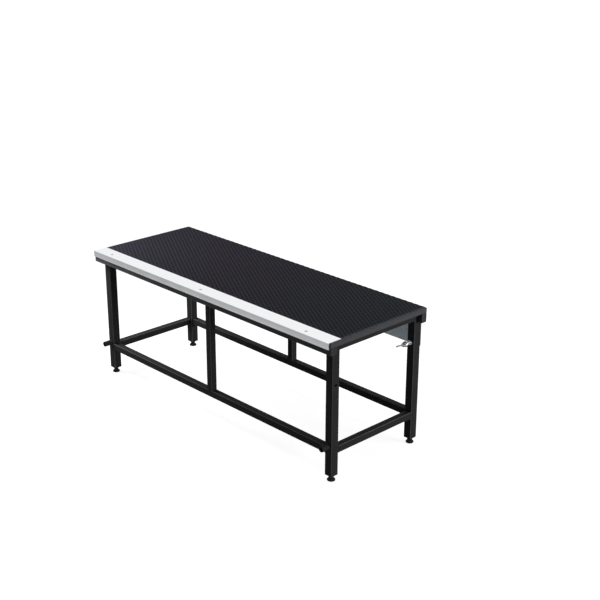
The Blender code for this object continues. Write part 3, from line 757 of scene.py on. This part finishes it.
X, Y, Z = 0, 1, 2
TOP = (Z, 1)
UNDER = (Z, -1)
SEAMS = []
for hand, out in (("left", -1), ("right", 1)):
    SEAMS.append((hand + "_lower_rail", Y, -1, "leg_front_" + hand, ()))
    SEAMS.append((hand + "_lower_rail", Y, 1, "leg_rear_" + hand, ()))
    SEAMS.append((hand + "_upper_rail", Y, -1, "leg_front_" + hand, (TOP,)))
    SEAMS.append((hand + "_upper_rail", Y, 1, "rear_upper_rail", (TOP, UNDER, (X, out))))
    SEAMS.append(("front_lower_rail", X, out, "leg_front_" + hand, ()))
    SEAMS.append(("rear_lower_rail", X, out, "leg_rear_" + hand, ()))
    SEAMS.append(("leg_rear_" + hand, Z, 1, "rear_upper_rail", ((X, out), (Y, 1))))
SEAMS.append(("front_centre_post", Z, -1, "front_lower_rail", ()))
SEAMS.append(("rear_centre_post", Z, -1, "rear_lower_rail", ()))
SEAMS.append(("rear_centre_post", Z, 1, "rear_upper_rail", ()))

welds = bmesh.new()
for rail, axis, end, mate, hidden in SEAMS:
    seam_beads(welds, rail, axis, end, mate, hidden)
frame_welds = make_piece("frame_welds", welds, COATED, "module")
print("frame welds:", len(SEAMS), "joints,", len(frame_welds.data.polygons), "faces")

# %% [markdown]
# ### Beads under the front rail and round the welded nuts
#
# The front upper rail lies in front of the legs and the post, so its beads run down their
# sides. The coupling nuts and bosses have a ring of weld at their foot, which is a bead
# bent round: a circle spun about the screw's axis.

# %% Upright beads and rings
UPRIGHT_SINK = 0.4 * MM
CROSS_END = 2 * MM
RING_SECTION_SIDES = 8
RING_STEPS = 40
RING_RIPPLES = 9


def upright_beads(bm, post):
    low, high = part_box(post)
    rail_low, rail_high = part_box("front_upper_rail")
    for x, sign in ((low.x, -1), (high.x, 1)):
        foot = (x - sign * UPRIGHT_SINK, rail_high.y, rail_low.z + BEAD_END)
        head = (x - sign * UPRIGHT_SINK, rail_high.y, rail_high.z - BEAD_END)
        bead(bm, foot, head, FILLET)
    left = (low.x + CROSS_END, rail_high.y - UPRIGHT_SINK, rail_low.z)
    right = (high.x - CROSS_END, rail_high.y - UPRIGHT_SINK, rail_low.z)
    bead(bm, left, right, FILLET)


def ring_bead(bm, node, face_y, radius):
    """Bead round the foot of a nut or boss that stands on a face across Y."""
    low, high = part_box(node)
    ring = (high.z - low.z) / 2
    before = set(bm.verts)
    made = bmesh.ops.create_circle(bm, cap_ends=False, segments=RING_SECTION_SIDES,
                                   radius=radius, matrix=Matrix.Translation((ring, 0, 0))
                                   @ Matrix.Rotation(math.pi / 2, 4, "X"))
    loop = [edge for edge in bm.edges if edge.verts[0] in made["verts"]]
    bmesh.ops.spin(bm, geom=made["verts"] + loop, cent=(0, 0, 0), axis=(0, 0, 1),
                   angle=2 * math.pi, steps=RING_STEPS, use_merge=True)
    fresh = [vert for vert in bm.verts if vert not in before]
    bmesh.ops.remove_doubles(bm, verts=fresh, dist=1e-7)
    fresh = [vert for vert in bm.verts if vert not in before]
    for vert in fresh:
        turn = math.atan2(vert.co.y, vert.co.x)
        vert.co.z *= 0.85 + 0.15 * abs(math.sin(turn * RING_RIPPLES))
    middle = ((low.x + high.x) / 2, face_y, (low.z + high.z) / 2)
    bmesh.ops.transform(bm, verts=fresh, matrix=along(middle, (0, 1, 0)))


upright = bmesh.new()
for post in ("leg_front_left", "leg_front_right", "front_centre_post"):
    upright_beads(upright, post)
for hand in ("left", "right"):
    ring_bead(upright, "weld_nut_" + hand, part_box("leg_rear_" + hand)[0].y, 1.4 * MM)
    ring_bead(upright, "coupling_boss_" + hand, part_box("leg_front_" + hand)[0].y, 1.6 * MM)
rail_welds = make_piece("rail_and_nut_welds", upright, COATED, "module")
print("rail and nut welds:", len(rail_welds.data.polygons), "faces")

# %% [markdown]
# ## Strip behind the deck, with its screws
#
# Three flush screws hold the strip under the rear edge of the deck. The solid strip is
# plain, so it is replaced by a copy with countersunk holes: its doubled vertices are merged
# and its flat faces joined, and cones are cut from it by a Boolean. The screws are spun
# from a line with a socket in the head.

# %% Rear strip
STRIP_SCREW_HEAD = 8 * MM
STRIP_SCREW_SHARES = (0.08, 0.5, 0.92)


def rear_strip():
    low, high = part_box("rear_fascia")
    bm = bmesh.new()
    bm.from_mesh(nodes["rear_fascia"].data)
    bmesh.ops.remove_doubles(bm, verts=bm.verts, dist=1e-6)
    bmesh.ops.dissolve_limit(bm, angle_limit=math.radians(1), verts=bm.verts,
                             edges=bm.edges)
    strip = make_piece("rear_strip", bm, STRIP, "module")
    cutter = bmesh.new()
    screws = bmesh.new()
    radius = STRIP_SCREW_HEAD / 2
    for share in STRIP_SCREW_SHARES:
        spot = Vector((low.x + (high.x - low.x) * share, high.y, (low.z + high.z) / 2))
        spin_line(cutter, [(0, 1 * MM), (radius * 1.35, 1 * MM), (radius * 0.25, -2.6 * MM),
                           (0, -2.6 * MM)], 32, along(spot, (0, 1, 0)))
        spin_line(screws, [(0, -1.5 * MM), (1.4 * MM, -1.3 * MM), (1.5 * MM, -0.15 * MM),
                           (radius - 0.2 * MM, -0.15 * MM), (radius, -0.3 * MM),
                           (radius * 0.3, -2.5 * MM), (0, -2.5 * MM)], 32,
                  along(spot, (0, 1, 0)))
    bmesh.ops.recalc_face_normals(cutter, faces=cutter.faces)
    shape = bpy.data.meshes.new("strip_cutter")
    cutter.to_mesh(shape)
    cutter.free()
    tool = bpy.data.objects.new("strip_cutter", shape)
    bpy.context.scene.collection.objects.link(tool)
    seats = strip.modifiers.new("countersinks", "BOOLEAN")
    seats.operation = "DIFFERENCE"
    seats.solver = "EXACT"
    seats.object = tool
    bpy.context.view_layer.update()
    cut = bpy.data.meshes.new_from_object(
        strip.evaluated_get(bpy.context.evaluated_depsgraph_get()))
    strip.modifiers.clear()
    strip.data = cut
    bpy.data.objects.remove(tool)
    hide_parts("rear_fascia")
    make_piece("strip_screws", screws, BLACKENED, "module")
    return strip


strip = rear_strip()
print("rear strip has", len(strip.data.polygons), "faces")

# %% [markdown]
# ## Floor, backdrop and light
#
# The object stands on a plain white floor. The camera sees the floor and the backdrop as
# white through Light Path, so the lamps don't have to be strong enough to bleach them. A
# little of the floor's own shading is left in, which keeps the soft shadow under the feet.
# Metal mirrors a dimmer floor, which gets brighter towards the left, as it would beside a
# window: that gives the lip of the nosing its gradient.
#
# One large soft lamp hangs above, a second gives the right side its light, and a small one
# near the front left corner brightens the left end of the deck and the left legs. The top
# and the left lamp are hidden from mirror-like reflections: the first would bleach the top
# of the nosing, and the second would show in it as a hot spot.

# %% Floor
FLOOR_SIZE = 30.0
SEEN_FLOOR = (0.90, 1.0)
MIRRORED_FLOOR = (0.22, 0.50)


def floor_finish():
    material = bpy.data.materials.new("studio_floor")
    material.use_nodes = True
    tree = material.node_tree
    tree.nodes.clear()
    where = add_node(material, "TexCoord", {}).outputs["Object"]
    away = add_node(material, "VectorMath", {0: where}, operation="LENGTH")
    lift = remap(material, away.outputs["Value"], (0.8, 4.0), SEEN_FLOOR)
    path = add_node(material, "LightPath", {})
    seen = calculate(material, "MAXIMUM", path.outputs["Is Camera Ray"],
                     path.outputs["Is Transmission Ray"])
    place = add_node(material, "SeparateXYZ", {"Vector": where})
    beside = remap(material, place.outputs["X"], (-1.05, -1.50), MIRRORED_FLOOR)
    mirrored = calculate(material, "MULTIPLY", path.outputs["Is Glossy Ray"], beside)
    share = calculate(material, "MAXIMUM", seen, mirrored)
    level = calculate(material, "MULTIPLY", share, lift)
    paint = add_node(material, "BsdfDiffuse", {"Color": linear("B4B4B4")})
    glow = add_node(material, "Emission", {"Color": (1, 1, 1, 1), "Strength": level})
    both = add_node(material, "AddShader", {0: paint, 1: glow})
    add_node(material, "OutputMaterial", {"Surface": both})
    return material


ground = bmesh.new()
bmesh.ops.create_grid(ground, x_segments=1, y_segments=1, size=FLOOR_SIZE / 2)
ground_mesh = bpy.data.meshes.new("floor")
ground.to_mesh(ground_mesh)
ground.free()
ground_mesh.materials.append(floor_finish())
floor = bpy.data.objects.new("floor", ground_mesh)
bpy.context.scene.collection.objects.link(floor)
print("floor of", FLOOR_SIZE, "m")

# %% World and lamps
WORLD_LEVEL = 0.07
LAMPS = {
    "top": {"place": (0.2, 0.2, 3.0), "size": 1.0, "watts": 27, "mirrored": False},
    "right": {"place": (3.0, 1.6, 0.7), "size": 1.2, "watts": 60, "mirrored": True},
    "left": {"place": (-0.72, -0.32, 0.66), "size": 0.3, "watts": 5.4, "mirrored": False},
}
LAMP_AIM = Vector((0, 0, 0.25))

world = bpy.data.worlds.new("studio")
world.use_nodes = True
world.node_tree.nodes.clear()
path = add_node(world, "LightPath", {})
seen = calculate(world, "MAXIMUM", path.outputs["Is Camera Ray"],
                 path.outputs["Is Transmission Ray"])
bright = calculate(world, "MAXIMUM", seen, path.outputs["Is Glossy Ray"])
level = remap(world, bright, (0.0, 1.0), (WORLD_LEVEL, 1.0))
sky = add_node(world, "Background", {"Color": (1, 1, 1, 1), "Strength": level})
add_node(world, "OutputWorld", {"Surface": sky})
bpy.context.scene.world = world

for name, lamp in LAMPS.items():
    light = bpy.data.lights.new(name + "_softbox", "AREA")
    light.size = lamp["size"]
    light.energy = lamp["watts"]
    box = bpy.data.objects.new(name + "_softbox", light)
    box.location = lamp["place"]
    box.visible_camera = False
    box.visible_glossy = lamp["mirrored"]
    aim = LAMP_AIM - Vector(lamp["place"])
    box.rotation_euler = aim.to_track_quat("-Z", "Y").to_euler()
    bpy.context.scene.collection.objects.link(box)
print("lamps:", list(LAMPS))
